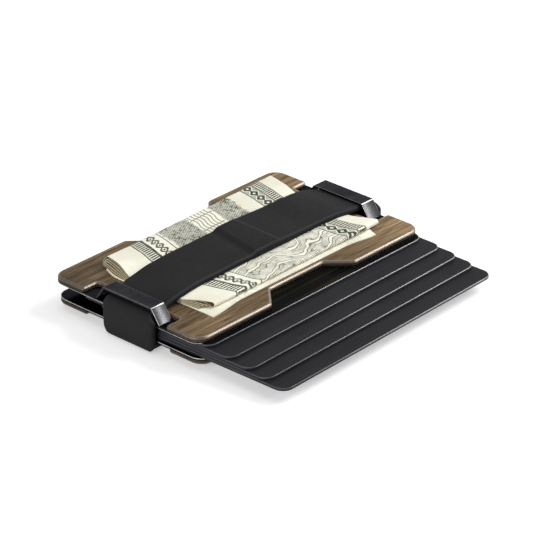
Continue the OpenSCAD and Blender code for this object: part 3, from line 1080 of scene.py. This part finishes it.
def rim_of(rows, columns):
    """Places (row, column) round the rim of a grid."""
    rim = [(0, j) for j in range(columns)] + [(i, columns - 1) for i in range(1, rows)]
    rim += [(rows - 1, j) for j in range(columns - 2, -1, -1)]
    return rim + [(i, 0) for i in range(rows - 2, 0, -1)]


def note(name, node, front, back):
    """A folded note; its front is the side that faces outwards from the folds."""
    points, share = FOLDS[node].surface()
    rows, columns = points.shape[:2]
    along = np.gradient(points, axis=0)
    over = np.gradient(points, axis=1)
    normal = np.cross(along, over)
    normal /= np.linalg.norm(normal, axis=2)[:, :, None]
    bm = bmesh.new()
    uv = bm.loops.layers.uv.new("sheet")
    sides = []
    where = {}
    for sign in (0.5, -0.5):
        grid = []
        for i in range(rows):
            line = []
            for j in range(columns):
                vert = bm.verts.new(points[i, j] + normal[i, j] * PAPER * sign)
                where[vert] = (share[i], j / (columns - 1))
                line.append(vert)
            grid.append(line)
        sides.append(grid)
    top, low = sides
    for i in range(rows - 1):
        for j in range(columns - 1):
            bm.faces.new((top[i][j], top[i + 1][j], top[i + 1][j + 1], top[i][j + 1]))
            under = bm.faces.new((low[i][j], low[i][j + 1], low[i + 1][j + 1], low[i + 1][j]))
            under.material_index = 2
    rim = rim_of(rows, columns)
    for (a, b), (c, d) in zip(rim, rim[1:] + rim[:1]):
        side = bm.faces.new((top[a][b], top[c][d], low[c][d], low[a][b]))
        side.material_index = 1
    for face in bm.faces:
        for corner in face.loops:
            corner[uv].uv = where[corner.vert]
    piece = finish_mesh(bm, name, [front, NOTE_CUT, back], sharp_deg=50)
    put(piece, node, "note", node)


# Stage

CAMERA_AZ, CAMERA_EL, CAMERA_DIST = -47.458, 27.43, 0.85298
CAMERA_AIM = Vector((-0.002854, -0.013944, Z_TOP * MM))
CAMERA_LENS, CAMERA_SENSOR = 213.33, 36.0
FLOOR_HALF, FLOOR_DROP = 2.0, 0.0002
FLOOR_TONE = (0.80, 0.80, 0.80, 1.0)
# Glow of the floor that only the eye and reflections see, and the strength of the light from all round
FLOOR_LIFT = 0.42
AMBIENT = 0.20
# Name, direction, distance and size in metres, and power in watts
LAMPS = [
    ("overhead", (0.05, 0.15, 1.0), 0.9, 0.7, 2.2),
    ("front_right", (0.70, -0.335, 0.64), 0.8, 0.40, 4.8),
    ("left_fill", (-0.94, -0.10, 0.28), 0.9, 0.6, 5.2),
    ("near_glint", (0.575, -0.70, 0.425), 0.8, 0.10, 0.92),
]


def direction(azimuth, elevation):
    a, e = math.radians(azimuth), math.radians(elevation)
    return Vector((math.sin(a) * math.cos(e), -math.cos(a) * math.cos(e), math.sin(e)))


def camera():
    data = bpy.data.cameras.new("camera")
    data.lens, data.sensor_width = CAMERA_LENS, CAMERA_SENSOR
    data.clip_start, data.clip_end = 0.05, 20.0
    eye = bpy.data.objects.new("camera", data)
    back = direction(CAMERA_AZ, CAMERA_EL)
    eye.location = CAMERA_AIM + back * CAMERA_DIST
    eye.rotation_mode = "QUATERNION"
    eye.rotation_quaternion = (-back).to_track_quat("-Z", "Y")
    bpy.context.scene.collection.objects.link(eye)
    bpy.context.scene.camera = eye


def softbox(name, way, distance, size, power):
    toward = Vector(way)
    data = bpy.data.lights.new(name, "AREA")
    data.shape, data.size, data.energy = "SQUARE", size, power
    lamp = bpy.data.objects.new(name, data)
    lamp.location = CAMERA_AIM + toward.normalized() * distance
    lamp.rotation_mode = "QUATERNION"
    lamp.rotation_quaternion = (-toward).to_track_quat("-Z", "Y")
    bpy.context.scene.collection.objects.link(lamp)


def seen_directly(tree):
    """1 for camera, glossy and transmission rays, and 0 for the light that falls on things."""
    path = tree.nodes.new("ShaderNodeLightPath")
    total = path.outputs["Is Camera Ray"]
    for key in ("Is Glossy Ray", "Is Transmission Ray"):
        join = tree.nodes.new("ShaderNodeMath")
        join.operation = "MAXIMUM"
        tree.links.new(total, join.inputs[0])
        tree.links.new(path.outputs[key], join.inputs[1])
        total = join.outputs[0]
    return total


def floor():
    """A plain pale floor just below the part."""
    bm = bmesh.new()
    bm.faces.new([bm.verts.new((x, y, 0)) for x, y in rectangle(0, 0, FLOOR_HALF, FLOOR_HALF)])
    mesh = bpy.data.meshes.new("floor")
    bm.to_mesh(mesh)
    bm.free()
    ground = bpy.data.objects.new("floor", mesh)
    ground.location.z = -FLOOR_DROP
    bpy.context.scene.collection.objects.link(ground)
    material = bpy.data.materials.new("floor")
    material.use_nodes = True
    tree = material.node_tree
    tree.nodes.remove(tree.nodes["Principled BSDF"])
    matt = tree.nodes.new("ShaderNodeBsdfDiffuse")
    matt.inputs["Color"].default_value = FLOOR_TONE
    glow = tree.nodes.new("ShaderNodeEmission")
    lift = tree.nodes.new("ShaderNodeMath")
    lift.operation = "MULTIPLY"
    lift.inputs[1].default_value = FLOOR_LIFT
    tree.links.new(seen_directly(tree), lift.inputs[0])
    tree.links.new(lift.outputs[0], glow.inputs["Strength"])
    both = tree.nodes.new("ShaderNodeAddShader")
    tree.links.new(matt.outputs[0], both.inputs[0])
    tree.links.new(glow.outputs[0], both.inputs[1])
    tree.links.new(both.outputs[0], tree.nodes["Material Output"].inputs["Surface"])
    mesh.materials.append(material)


def world():
    """A white backdrop to the eye, and a dim light from all round on the object."""
    made = bpy.data.worlds.new("studio")
    bpy.context.scene.world = made
    made.use_nodes = True
    tree = made.node_tree
    mix = tree.nodes.new("ShaderNodeMapRange")
    mix.inputs["To Min"].default_value = AMBIENT
    mix.inputs["To Max"].default_value = 1.0
    tree.links.new(seen_directly(tree), mix.inputs["Value"])
    tree.links.new(mix.outputs[0], tree.nodes["Background"].inputs["Strength"])
    tree.nodes["Background"].inputs["Color"].default_value = (1, 1, 1, 1)


bpy.context.scene.view_settings.view_transform = "Standard"
camera()
floor()
world()
for lamp in LAMPS:
    softbox(*lamp)

scale("upper_scale_piece", "upper_half", "upper_scale", True)
scale("lower_scale_piece", "lower_half", "lower_scale", False, -PLATE_SLIP)
plate("upper_plate_piece", "upper_half", "upper_plate", False, holes=tab_slots())
plate("lower_plate_piece", "lower_half", "lower_plate", True, -PLATE_SLIP)
for film in ("upper_film", "lower_film"):
    frame["nodes"][film].data.materials.clear()
    frame["nodes"][film].data.materials.append(GLUE)
for index in range(len(CARD_OUT)):
    card(index)
loop("left_loop_piece", "left_loop", -LOOP_X)
loop("right_loop_piece", "right_loop", LOOP_X)
band()
note("under_note_piece", "under_note", NOTE_PLAIN, NOTE_PLAIN)
note("outer_note_piece", "outer_note", NOTE, NOTE_EDGE_SHADE)
note("middle_note_piece", "middle_note", NOTE_EDGE_SHADE, NOTE_EDGE_SHADE)
note("inner_note_piece", "inner_note", NOTE_EDGE_SHADE, NOTE_EDGE_SHADE)
